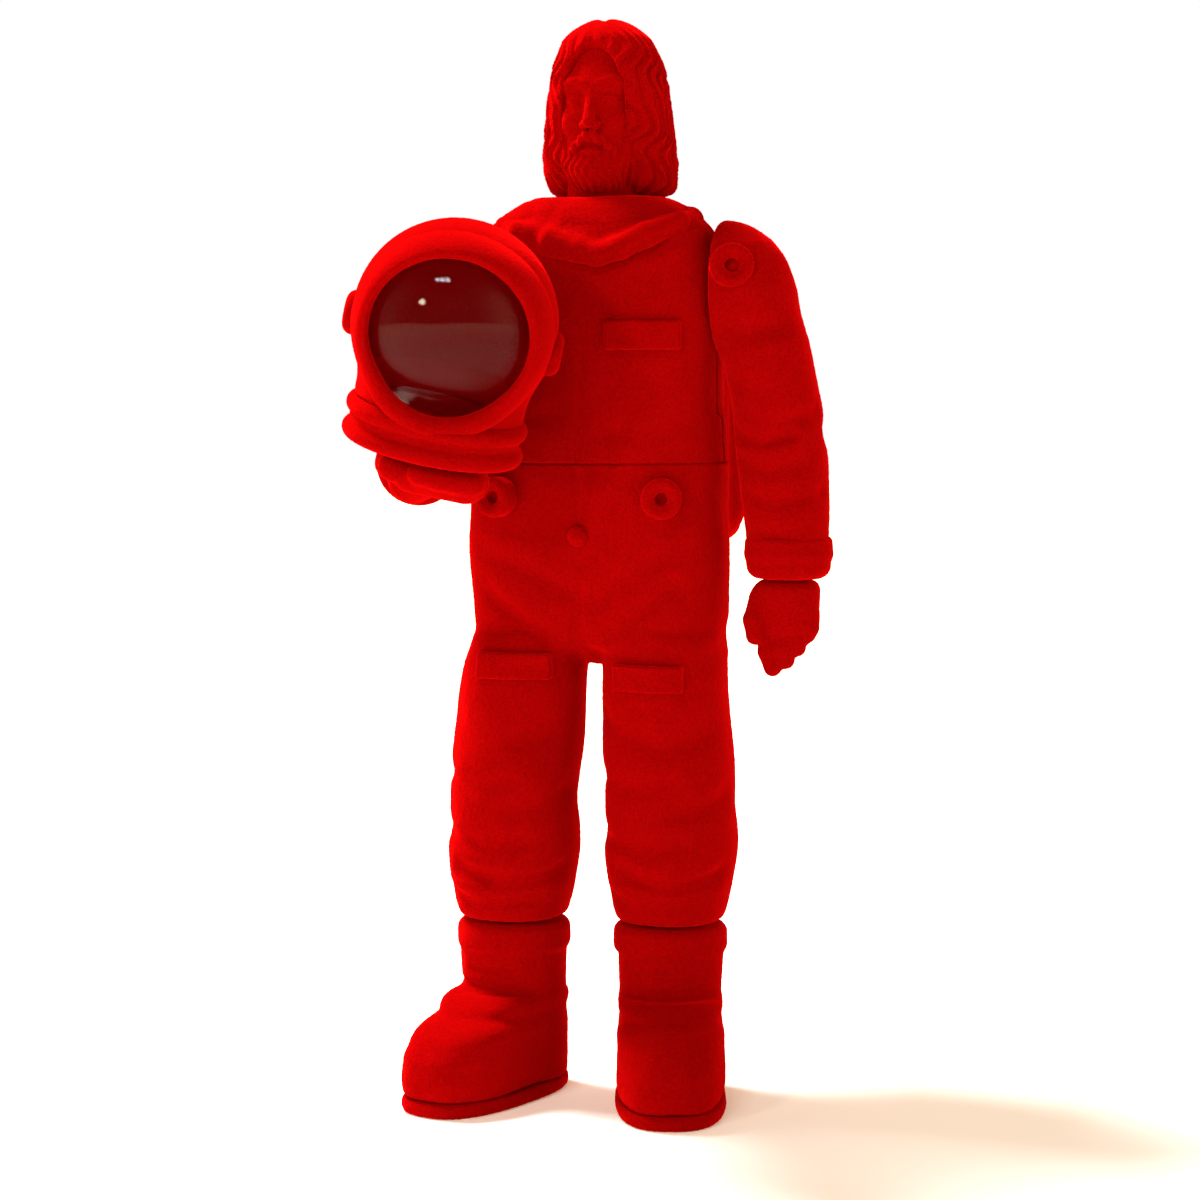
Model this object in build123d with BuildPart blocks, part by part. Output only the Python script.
from build123d import *
import os
from math import cos, radians, sin

# Standing toy astronaut in a flocked plastic, 200 mm tall, with its helmet held in its right hand.
# Millimetres, +Z up. The origin is on the floor, in the middle of the figure's bounding box.
# The figure faces -Y, and its left side is +X. The vertical axis of the body crosses the floor
# at (0, AXIS_Y), because the helmet in front reaches further than the pack behind.

AXIS_Y = 9.0
TOTAL_HEIGHT = 200.0
FLOCK = 0.8  # height of the moulded details over the suit
WALL = 2.2  # thickness of the hollow castings

# Heights of the main levels
BOOT_TOP = 32.7
LEG_BOTTOM = 33.0
CROTCH = 80.5
WAIST = 118.2
SHOULDER_AXIS_Z = 153.0
TORSO_TOP = 166.2
NECK_WELL_FLOOR = 163.6
COLLAR_TOP = 167.1
NECK_BOTTOM = 163.9

CUFF_TOP = 105.0
CUFF_BOTTOM = 97.2

# Swivel pins: a shaft with a retaining head
SHAFT = 3.0
RUNNING_GAP = 0.05
HEAD_GAP = 0.3

# Outlines of the suit, as (height, half width, half depth, centre x, centre y) from the body axis
TORSO = [
    (WAIST, 24.0, 13.6, 0, 0),
    (130, 23.2, 13.8, 0, 0),
    (145, 22.2, 13.8, 0, 0),
    (155, 21.9, 13.0, 0, 0.2),
    (160.5, 21.0, 11.8, 0, 0.6),
    (164, 18.0, 10.4, 0, 1.0),
    (TORSO_TOP, 14.0, 9.2, 0, 1.6),
]
PELVIS = [
    (CROTCH, 23.2, 12.2, 0, -1.0),
    (90, 24.0, 13.4, 0, -0.4),
    (104, 24.5, 13.9, 0, 0),
    (WAIST, 24.0, 13.6, 0, 0),
]
LEG_OUTLINES = [
    (LEG_BOTTOM, 9.6, 10.0, 1.0),
    (38, 11.2, 11.6, 1.0),
    (45, 12.0, 12.2, 1.0),
    (60, 11.9, 12.0, 0.93),
    (74, 11.6, 12.0, 0.6),
    (86, 11.0, 11.6, 0.25),
]
LEG_TOP_X = 12.2
ARM = [
    (CUFF_TOP, 7.5, 7.5, 36.3, -1.4),
    (118, 8.1, 8.1, 35.0, -0.4),
    (128, 8.3, 8.5, 33.8, 0),
    (140, 8.1, 9.2, 31.5, 0),
    (150.5, 7.5, 9.4, 30.3, 0),
]
GLOVE = [
    (79.6, 2.2, 1.8, 34.3, -2.6),
    (83.4, 4.6, 3.3, 35.0, -2.3),
    (89, 6.4, 4.8, 35.9, -1.8),
    (93.4, 6.2, 4.9, 36.2, -1.5),
    (CUFF_BOTTOM - 0.3, 5.8, 4.8, 36.4, -1.4),
]
HAIR = [
    (167.5, 12.4, 9.0, 0.4, 7.0),
    (174, 12.3, 11.0, 0.4, 5.2),
    (184, 10.9, 11.9, 0.7, 3.8),
    (191, 9.9, 11.0, 0.7, 3.6),
    (196.5, 8.0, 8.6, 0.4, 3.6),
    (TOTAL_HEIGHT, 3.6, 4.0, 0.4, 3.6),
]

# Arms and shoulders
SHOULDER_FACE = 22.7  # inner face of each arm, from the body axis
SHOULDER_RADII = (15.2, 9.8, 12.6)
SHOULDER_CENTRE_Z = 150.5
ELBOW = (-34.8, 3.0, 122.6)
RIGHT_WRIST = (-30.6, -15.6, 116.8)
ELBOW_RADIUS = 8.3
WRIST_RADIUS = 7.0
CUFF_RADIUS = 7.7

# Head
NECK_AXIS_Y = 2.0
HEAD_CENTRE = (0.4, 2.6, 183.6)
HEAD_RADII = (8.6, 9.6, 14.0)
NECK_RADIUS = 6.6
NECK_WELL_RADIUS = 8.0

# Helmet: rolled towards the body and turned a little to the figure's left
HELMET_CENTRE = (-16.5, -33.0, 143.6)
HELMET_RADIUS = 18.2
HELMET_WALL = 1.8
HELMET_YAW = 15
HELMET_ROLL = 14
HELMET_NOD = 6
VISOR_RADIUS = 13.8
VISOR_THICKNESS = 1.0
VISOR_DROP = 6  # degrees that the visor faces below the helmet's own front
NECK_RADIUS_OUTSIDE = 15.5
NECK_RING_TOP = -15.4
NECK_RING_BOTTOM = -23.4
NECK_RING_OUTER = 16.2
NECK_RING_INNER = 13.2
EAR_HEIGHT = -2.0
PALM_GAP = 0.15
PALM_THICKNESS = 6.4

# Pack
PACK_HALF_WIDTH = 21.0
PACK_FRONT = 14.6
PACK_BACK = 34.0
PACK_BOTTOM = 102.0
PACK_TOP = 158.0

# Boots
BOOT_LENGTH_FRONT = 28.0
BOOT_HEEL_BACK = 10.8
BOOT_HALF_WIDTH = 10.1
SOLE_THICKNESS = 2.6
BOOT_PLACE = {"left": (14.2, -1.5), "right": (-15.2, -5.5)}
BOOT_SPLAY = {"left": 16, "right": -19}
SIDES = {"left": 1, "right": -1}

os.makedirs("parts", exist_ok=True)


def level(z, x=0.0, y=0.0):
    """Horizontal plane at height z, centred x and y from the body axis."""
    return Plane(origin=(x, AXIS_Y + y, z))


def at(point):
    """Position in the part's frame of a point given from the body axis."""
    return Vector(point[0], AXIS_Y + point[1], point[2])


def rounded_loft(sections, grow=0.0, side=1, mode=Mode.ADD):
    """Loft through rounded rectangles; grow makes every outline larger or smaller."""
    faces = []
    for z, half_width, half_depth, x, y in sections:
        radius = 0.88 * min(half_width, half_depth) + grow
        with BuildSketch(level(z, side * x, y)) as outline:
            RectangleRounded(2 * (half_width + grow), 2 * (half_depth + grow), radius)
        faces.append(outline.sketch.face())
    loft(sections=faces, mode=mode)


def rod(axis, radius, start, end, mode=Mode.ADD):
    """Cylinder about a plane's normal, from start to end along it."""
    with Locations(axis.offset(start)):
        Cylinder(radius, end - start, align=(Align.CENTER, Align.CENTER, Align.MIN), mode=mode)


def ellipsoid(centre, radii, mode=Mode.ADD):
    """Ball stretched to three radii."""
    ball = scale(Sphere(1, mode=Mode.PRIVATE), by=radii, mode=Mode.PRIVATE)
    add(ball.moved(Location(at(centre))), mode=mode)


def leg_sections(name):
    """Outlines of one leg: each is a share of the way from the hip to the boot."""
    hip = Vector(SIDES[name] * LEG_TOP_X, -0.6)
    boot = Vector(*BOOT_PLACE[name])
    places = [hip + (boot - hip) * share for _, _, _, share in LEG_OUTLINES]
    return [(z, a, b, place.X, place.Y) for (z, a, b, _), place in zip(LEG_OUTLINES, places)]


def suit(grow=0.0, mode=Mode.ADD):
    """Outside of the trousers and the torso together."""
    rounded_loft(TORSO, grow, mode=mode)
    rounded_loft(PELVIS, grow, mode=mode)
    for name in SIDES:
        rounded_loft(leg_sections(name), grow, mode=mode)


def save(piece, name):
    """Label a finished piece and write it to its own file."""
    piece.part.label = name
    export_step(piece.part, f"parts/{name}.step")


# Axes of the joints, as planes whose normal is the axis
neck_axis = level(0, 0, NECK_AXIS_Y)
shoulder_axis = {
    "left": Plane(origin=at((0, 0, SHOULDER_AXIS_Z)), x_dir=(0, 1, 0), z_dir=(1, 0, 0)),
    "right": Plane(origin=at((0, 0, SHOULDER_AXIS_Z)), x_dir=(0, 1, 0), z_dir=(-1, 0, 0)),
}
boot_axis = {name: level(0, *BOOT_PLACE[name]) for name in SIDES}

# The helmet's frame: its normal is the helmet's own up, and its -Y is the helmet's front
helmet_frame = Plane(at(HELMET_CENTRE)).rotated((HELMET_NOD, HELMET_ROLL, HELMET_YAW))
visor_frame = Plane(
    origin=helmet_frame.origin,
    x_dir=helmet_frame.x_dir,
    z_dir=helmet_frame.from_local_coords(Vector(0, -cos(radians(VISOR_DROP)), -sin(radians(VISOR_DROP))))
    - helmet_frame.origin,
)
helmet_up = Axis(helmet_frame.origin, helmet_frame.z_dir)

# ------------------------------------------------------------------ torso
TORSO_ROOM_TOP = 158.6
BORE_RADIUS = SHAFT + RUNNING_GAP
SHOULDER_PIN_INNER = 15.6
SHOULDER_SEAT_RADIUS = 26.0
SHOULDER_SEAT_GAP = 0.4

with BuildPart() as torso_room:
    rounded_loft(TORSO, -WALL)
    with Locations((0, AXIS_Y, TORSO_ROOM_TOP)):
        Box(60, 60, 20, align=(Align.CENTER, Align.CENTER, Align.MIN), mode=Mode.SUBTRACT)

torso_halves = {}
for name, y_direction in {"torso_front": -1, "torso_back": 1}.items():
    with BuildPart() as half:
        rounded_loft(TORSO)
        add(torso_room.part, mode=Mode.SUBTRACT)
        rod(neck_axis, BORE_RADIUS, TORSO_ROOM_TOP - 5, TORSO_TOP + 5, Mode.SUBTRACT)
        rod(neck_axis, NECK_WELL_RADIUS, NECK_WELL_FLOOR, TORSO_TOP + 5, Mode.SUBTRACT)
        for side in SIDES:
            rod(shoulder_axis[side], BORE_RADIUS, SHOULDER_PIN_INNER, 30, Mode.SUBTRACT)
            rod(shoulder_axis[side], SHOULDER_SEAT_RADIUS, SHOULDER_FACE - SHOULDER_SEAT_GAP, 40, Mode.SUBTRACT)
        with Locations((0, AXIS_Y + y_direction * 30, 140)):
            Box(80, 60, 80, mode=Mode.INTERSECT)
    torso_halves[name] = half
    save(half, name)

WAIST_RING_GAP = 0.3
WAIST_RING_WALL = 1.8
with BuildPart() as waist_ring:
    rounded_loft(TORSO, -WALL - WAIST_RING_GAP)
    rounded_loft(PELVIS, -WALL - WAIST_RING_GAP)
    rounded_loft(TORSO, -WALL - WAIST_RING_GAP - WAIST_RING_WALL, mode=Mode.SUBTRACT)
    rounded_loft(PELVIS, -WALL - WAIST_RING_GAP - WAIST_RING_WALL, mode=Mode.SUBTRACT)
    with Locations((0, AXIS_Y, WAIST)):
        Box(60, 60, 10, mode=Mode.INTERSECT)
save(waist_ring, "waist_ring")

COLLAR = [
    (160.5, 16.2, 12.6, 0, 0.6),
    (164.5, 15.2, 11.6, 0, 1.4),
    (COLLAR_TOP, 12.4, 10.4, 0, 2.4),
]
with BuildPart() as collar_ring:
    rounded_loft(COLLAR)
    rod(neck_axis, NECK_WELL_RADIUS, 150, COLLAR_TOP + 1, Mode.SUBTRACT)
    rounded_loft(TORSO, mode=Mode.SUBTRACT)
    fillet(collar_ring.edges().group_by(Axis.Z)[-1], 0.4)
save(collar_ring, "collar_ring")

with BuildPart() as chest_flap:
    rounded_loft(TORSO, FLOCK)
    with Locations(at((11.8, -15, 141.4))):
        Box(13.6, 14, 5.2, mode=Mode.INTERSECT)
    rounded_loft(TORSO, mode=Mode.SUBTRACT)
save(chest_flap, "chest_flap")

# ------------------------------------------------------------------ backpack
PACK_WALL = 2.4
PACK_SHELL_FRONT = PACK_FRONT + 1.6
pack_middle = (PACK_BOTTOM + PACK_TOP) / 2
pack_height = PACK_TOP - PACK_BOTTOM
pack_depth = PACK_BACK - PACK_SHELL_FRONT
with BuildPart() as backpack_shell:
    with BuildSketch(level(PACK_BOTTOM, 0, (PACK_SHELL_FRONT + PACK_BACK) / 2)):
        RectangleRounded(2 * PACK_HALF_WIDTH, pack_depth, 5)
    extrude(amount=pack_height)
    fillet(backpack_shell.edges().filter_by(Plane.XY), 4)
    with Locations(at((0, PACK_SHELL_FRONT, pack_middle))):
        Box(
            2 * (PACK_HALF_WIDTH - PACK_WALL),
            2 * (pack_depth - PACK_WALL),
            pack_height - 2 * PACK_WALL,
            mode=Mode.SUBTRACT,
        )
save(backpack_shell, "backpack_shell")

PLATE_DEPTH = 4.6
with BuildPart() as backpack_plate:
    with Locations(at((0, PACK_SHELL_FRONT - PLATE_DEPTH / 2, pack_middle))):
        Box(2 * PACK_HALF_WIDTH - 2, PLATE_DEPTH, pack_height - 2)
    fillet(backpack_plate.edges().filter_by(Axis.Y), 3.5)
    suit(mode=Mode.SUBTRACT)
save(backpack_plate, "backpack_plate")

# ------------------------------------------------------------------ trousers
LEG_FLOOR = 37.0
leg_rooms = {}
for name in SIDES:
    with BuildPart() as leg_room:
        rounded_loft(leg_sections(name), -WALL)
        with Locations(boot_axis[name]):
            Box(60, 60, 2 * LEG_FLOOR, mode=Mode.SUBTRACT)
    leg_rooms[name] = leg_room

with BuildPart() as trousers_shell:
    rounded_loft(PELVIS)
    for name in SIDES:
        rounded_loft(leg_sections(name))
    rounded_loft(PELVIS, -WALL, mode=Mode.SUBTRACT)
    for name in SIDES:
        add(leg_rooms[name].part, mode=Mode.SUBTRACT)
        rod(boot_axis[name], SHAFT, LEG_BOTTOM - 2, LEG_FLOOR + 1, Mode.SUBTRACT)
save(trousers_shell, "trousers_shell")

THIGH_FLAPS = {"left": (12.8, 79.2, 13.2), "right": (-12.4, 81.0, 14.2)}  # middle x, height, width
for name, (flap_x, flap_z, flap_width) in THIGH_FLAPS.items():
    with BuildPart() as thigh_flap:
        rounded_loft(PELVIS, FLOCK)
        rounded_loft(leg_sections(name), FLOCK)
        with Locations(at((flap_x, -14, flap_z))):
            Box(flap_width, 16, 4.8, mode=Mode.INTERSECT)
        suit(mode=Mode.SUBTRACT)
    save(thigh_flap, f"thigh_flap_{name}")

for name, side in SIDES.items():
    outward = Vector(side * sin(radians(14)), -cos(radians(14)), 0)
    port_plane = Plane(origin=at((side * 15.7, -13.7, 112.0)), z_dir=outward)
    with BuildPart() as waist_port:
        rod(port_plane, 3.7, -1.5, 2.0)
        fillet(waist_port.edges().filter_by(GeomType.CIRCLE), 0.8)
        rod(port_plane, 1.15, -2, 3, Mode.SUBTRACT)
        suit(mode=Mode.SUBTRACT)
    save(waist_port, f"waist_port_{name}")

with BuildPart() as front_stud:
    ellipsoid((0, -13.9, 105), (1.9, 1.3, 1.9))
    suit(mode=Mode.SUBTRACT)
save(front_stud, "front_stud")

# ------------------------------------------------------------------ head
NECK_PIN_TOP = 172.0
NECK_PIN_HEAD = 6.0
NECK_PIN_HEAD_HEIGHT = 2.7
with BuildPart() as head_shell:
    ellipsoid(HEAD_CENTRE, HEAD_RADII)
    rod(neck_axis, NECK_RADIUS, NECK_BOTTOM, 176)
    rod(neck_axis, SHAFT, NECK_BOTTOM - 1, NECK_PIN_TOP, Mode.SUBTRACT)
save(head_shell, "head_shell")

with BuildPart() as hair_shell:
    rounded_loft(HAIR)
    with Locations(at((0.4, -8.5, 178))):
        Box(14.6, 12, 28, mode=Mode.SUBTRACT)
    with Locations(at((0, -5, 167))):
        Box(9, 24, 12, mode=Mode.SUBTRACT)
    ellipsoid(HEAD_CENTRE, HEAD_RADII, mode=Mode.SUBTRACT)
    rod(neck_axis, NECK_RADIUS + 0.5, 160, 176, Mode.SUBTRACT)
save(hair_shell, "hair_shell")

with BuildPart() as neck_pin:
    pin_bottom = TORSO_ROOM_TOP - HEAD_GAP - NECK_PIN_HEAD_HEIGHT
    rod(neck_axis, SHAFT, pin_bottom, NECK_PIN_TOP)
    rod(neck_axis, NECK_PIN_HEAD, pin_bottom, TORSO_ROOM_TOP - HEAD_GAP)
save(neck_pin, "neck_pin")

# ------------------------------------------------------------------ shoulders and arms
ARM_PIN_END = 32.0
SHOULDER_PIN_HEAD = 4.8
SHOULDER_PIN_HEAD_HEIGHT = 2.2
WRIST_SHAFT = 2.4
WRIST_HEAD = 4.0
WRIST_POCKET_DEPTH = 3.4


def shoulder_dome(side):
    """Rounded cap of the arm, round about the shoulder's axis."""
    ellipsoid((side * SHOULDER_FACE, 0, SHOULDER_CENTRE_Z), SHOULDER_RADII)


def shoulder_face_cut(name):
    """Cut away all that is nearer to the body than the arm's flat shoulder face."""
    rod(shoulder_axis[name], 40, SHOULDER_FACE - 30, SHOULDER_FACE, Mode.SUBTRACT)


def wrist_pocket(axis):
    """Room in the arm for the head of the wrist pin; the axis points out of the cuff."""
    rod(axis, WRIST_HEAD + HEAD_GAP, -CUFF_LENGTH - WRIST_POCKET_DEPTH, -CUFF_LENGTH, Mode.SUBTRACT)


# The wrist axes start at the open end of each cuff and point towards the hand
CUFF_LENGTH = CUFF_TOP - CUFF_BOTTOM
forearm_direction = at(RIGHT_WRIST) - at(ELBOW)
wrist_axis = {
    "left": Plane(origin=at((36.4, -1.4, CUFF_BOTTOM)), x_dir=(1, 0, 0), z_dir=(0, 0, -1)),
    "right": Plane(origin=at(RIGHT_WRIST), x_dir=(1, 0, 0), z_dir=forearm_direction),
}
elbow_distance = forearm_direction.length

with BuildPart() as arm_left_shell:
    rounded_loft(ARM)
    shoulder_dome(1)
    shoulder_face_cut("left")
    rod(shoulder_axis["left"], SHAFT, 20, ARM_PIN_END, Mode.SUBTRACT)
    wrist_pocket(wrist_axis["left"])
save(arm_left_shell, "arm_left_shell")

UPPER_ARM_RIGHT = [
    (ELBOW[2], 8.1, 8.3, 34.8, 3.0),
    (132, 8.2, 8.7, 33.6, 1.6),
    (142, 8.0, 9.3, 31.4, 0.3),
    (150.5, 7.5, 9.4, 30.3, 0),
]
with BuildPart() as arm_right_shell:
    rounded_loft(UPPER_ARM_RIGHT, side=-1)
    shoulder_dome(-1)
    with Locations(at(ELBOW)):
        Sphere(ELBOW_RADIUS)
    with BuildSketch(wrist_axis["right"].offset(-elbow_distance)) as elbow_outline:
        Circle(ELBOW_RADIUS)
    with BuildSketch(wrist_axis["right"].offset(-CUFF_LENGTH)) as wrist_outline:
        Circle(WRIST_RADIUS)
    loft()
    shoulder_face_cut("right")
    rod(shoulder_axis["right"], SHAFT, 20, ARM_PIN_END, Mode.SUBTRACT)
    wrist_pocket(wrist_axis["right"])
save(arm_right_shell, "arm_right_shell")

for name in SIDES:
    with BuildPart() as cuff:
        rod(wrist_axis[name], CUFF_RADIUS, -CUFF_LENGTH, 0)
        fillet(cuff.edges().filter_by(GeomType.CIRCLE), 1.2)
        rod(wrist_axis[name], WRIST_SHAFT + RUNNING_GAP, -CUFF_LENGTH, 1, Mode.SUBTRACT)
    save(cuff, f"cuff_{name}")

    with BuildPart() as shoulder_pin:
        rod(shoulder_axis[name], SHAFT, SHOULDER_PIN_INNER, ARM_PIN_END)
        rod(shoulder_axis[name], SHOULDER_PIN_HEAD, SHOULDER_PIN_INNER, SHOULDER_PIN_INNER + SHOULDER_PIN_HEAD_HEIGHT)
    save(shoulder_pin, f"shoulder_pin_{name}")

    with BuildPart() as wrist_pin:
        rod(wrist_axis[name], WRIST_SHAFT, -CUFF_LENGTH - 2.6, 6.5)
        rod(wrist_axis[name], WRIST_HEAD, -CUFF_LENGTH - 2.6, -CUFF_LENGTH - HEAD_GAP)
    save(wrist_pin, f"wrist_pin_{name}")

for name, side in SIDES.items():
    forward = Vector(side * sin(radians(20)), -cos(radians(20)), 0.15)
    port_plane = Plane(origin=at((side * 27.2, -8.4, 153.8)), z_dir=forward)
    arm = {"left": arm_left_shell, "right": arm_right_shell}[name]
    with BuildPart() as shoulder_port:
        rod(port_plane, 4.0, -3.0, 2.4)
        fillet(shoulder_port.edges().filter_by(GeomType.CIRCLE), 0.8)
        rod(port_plane, 1.3, -4, 3, Mode.SUBTRACT)
        add(arm.part, mode=Mode.SUBTRACT)
        shoulder_face_cut(name)
    save(shoulder_port, f"shoulder_port_{name}")

# ------------------------------------------------------------------ hands
with BuildPart() as glove_left:
    rounded_loft(GLOVE)
    rod(wrist_axis["left"], WRIST_SHAFT, -1, 6.5, Mode.SUBTRACT)
save(glove_left, "glove_left")

palm_top = NECK_RING_BOTTOM - PALM_GAP
with BuildPart() as glove_right:
    with BuildSketch(helmet_frame.offset(palm_top - PALM_THICKNESS)):
        with Locations((2.3, 0.5)):
            RectangleRounded(17.2, 20.0, 6.5)
    extrude(amount=PALM_THICKNESS)
    palm_underside = glove_right.faces().sort_by(helmet_up)[0]
    fillet(palm_underside.edges(), 2.4)
    rod(wrist_axis["right"], 4.8, 0.4, 12.5)
    rod(helmet_frame, 40, palm_top, palm_top + 20, Mode.SUBTRACT)
    rod(wrist_axis["right"], WRIST_SHAFT, -1, 6.5, Mode.SUBTRACT)
save(glove_right, "glove_right")

# ------------------------------------------------------------------ helmet
with BuildPart() as helmet_shell:
    with Locations(helmet_frame):
        Sphere(HELMET_RADIUS)
    rod(helmet_frame, NECK_RADIUS_OUTSIDE, NECK_RING_TOP, -6)
    with Locations(helmet_frame):
        Sphere(HELMET_RADIUS - HELMET_WALL, mode=Mode.SUBTRACT)
    rod(helmet_frame, NECK_RING_INNER, -30, -6, Mode.SUBTRACT)
    rod(helmet_frame, 40, -40, NECK_RING_TOP, Mode.SUBTRACT)
    rod(visor_frame, VISOR_RADIUS, 4, 30, Mode.SUBTRACT)
save(helmet_shell, "helmet_shell")

VISOR_SET_BACK = 0.6
VISOR_FOOT_GAP = 0.15  # between the visor and the neck ring that it stands on
with BuildPart() as visor:
    with Locations(helmet_frame):
        Sphere(HELMET_RADIUS - VISOR_SET_BACK)
        Sphere(HELMET_RADIUS - VISOR_SET_BACK - VISOR_THICKNESS, mode=Mode.SUBTRACT)
    rod(visor_frame, VISOR_RADIUS, 4, 30, Mode.INTERSECT)
    rod(helmet_frame, 40, -40, NECK_RING_TOP + VISOR_FOOT_GAP, Mode.SUBTRACT)
save(visor, "visor")

with BuildPart() as visor_rim:
    with Locations(visor_frame.offset(10.3)):
        Torus(VISOR_RADIUS + 0.9, 1.7)
    with Locations(helmet_frame):
        Sphere(HELMET_RADIUS, mode=Mode.SUBTRACT)
    rod(helmet_frame, NECK_RADIUS_OUTSIDE, NECK_RING_TOP, -6, Mode.SUBTRACT)
    rod(helmet_frame, 40, -40, NECK_RING_TOP, Mode.SUBTRACT)
save(visor_rim, "visor_rim")

with BuildPart() as helmet_neck_ring:
    rod(helmet_frame, NECK_RING_OUTER, NECK_RING_BOTTOM, NECK_RING_TOP)
    fillet(helmet_neck_ring.edges().filter_by(GeomType.CIRCLE), 1.5)
    with Locations(helmet_frame.offset((NECK_RING_TOP + NECK_RING_BOTTOM) / 2)):
        Torus(NECK_RING_OUTER + 0.6, 1.2, mode=Mode.SUBTRACT)
    rod(helmet_frame, NECK_RING_INNER, -40, 0, Mode.SUBTRACT)
save(helmet_neck_ring, "helmet_neck_ring")

for name, side in SIDES.items():
    ear_axis = Plane(origin=helmet_frame.from_local_coords((0, 0, EAR_HEIGHT)), z_dir=side * helmet_frame.x_dir)
    with BuildPart() as ear_cap:
        rod(ear_axis, 4.2, 15, 20.0)
        fillet(ear_cap.edges().filter_by(GeomType.CIRCLE), 1.2)
        with Locations(helmet_frame):
            Sphere(HELMET_RADIUS, mode=Mode.SUBTRACT)
    save(ear_cap, f"ear_cap_{name}")

# ------------------------------------------------------------------ boots
BOOT_PIN_BOTTOM = 15.0
BOOT_PIN_HEAD = 4.6
BOOT_PIN_HEAD_HEIGHT = 2.2
BOOT_SHAFT_RADIUS = 9.5
BOOT_BAND_RADIUS = 10.4
BOOT_BAND_HEIGHT = 6.0
FOOT_HEIGHT = 14.0
SOLE_LIP = 0.4
for name in SIDES:
    toe_direction = Vector(sin(radians(BOOT_SPLAY[name])), -cos(radians(BOOT_SPLAY[name])), 0)
    floor_plane = Plane(origin=boot_axis[name].origin, x_dir=toe_direction, z_dir=(0, 0, 1))
    foot_middle = (BOOT_LENGTH_FRONT - BOOT_HEEL_BACK) / 2
    foot_length = BOOT_LENGTH_FRONT + BOOT_HEEL_BACK

    with BuildPart() as boot_sole:
        with BuildSketch(floor_plane):
            with Locations((foot_middle, 0)):
                RectangleRounded(foot_length, 2 * BOOT_HALF_WIDTH, 8.5)
        extrude(amount=SOLE_THICKNESS)
    save(boot_sole, f"boot_{name}_sole")

    with BuildPart() as boot_shell:
        with BuildSketch(floor_plane.offset(SOLE_THICKNESS)):
            with Locations((foot_middle, 0)):
                RectangleRounded(foot_length - 2 * SOLE_LIP, 2 * (BOOT_HALF_WIDTH - SOLE_LIP), 8.2)
        extrude(amount=FOOT_HEIGHT)
        fillet(boot_shell.edges().group_by(Axis.Z)[-1], 6.5)
        rod(boot_axis[name], BOOT_SHAFT_RADIUS, SOLE_THICKNESS, BOOT_TOP)
        rod(boot_axis[name], BOOT_BAND_RADIUS, BOOT_TOP - BOOT_BAND_HEIGHT, BOOT_TOP)
        rod(boot_axis[name], SHAFT + RUNNING_GAP, BOOT_PIN_BOTTOM - 4, BOOT_TOP + 1, Mode.SUBTRACT)
        rod(
            boot_axis[name],
            BOOT_PIN_HEAD + HEAD_GAP,
            BOOT_PIN_BOTTOM - HEAD_GAP,
            BOOT_PIN_BOTTOM + BOOT_PIN_HEAD_HEIGHT + HEAD_GAP,
            Mode.SUBTRACT,
        )
    save(boot_shell, f"boot_{name}_shell")

    with BuildPart() as boot_pin:
        rod(boot_axis[name], SHAFT, BOOT_PIN_BOTTOM, LEG_FLOOR + BOOT_PIN_HEAD_HEIGHT)
        for bottom in (BOOT_PIN_BOTTOM, LEG_FLOOR):
            rod(boot_axis[name], BOOT_PIN_HEAD, bottom, bottom + BOOT_PIN_HEAD_HEIGHT)
    save(boot_pin, f"boot_pin_{name}")
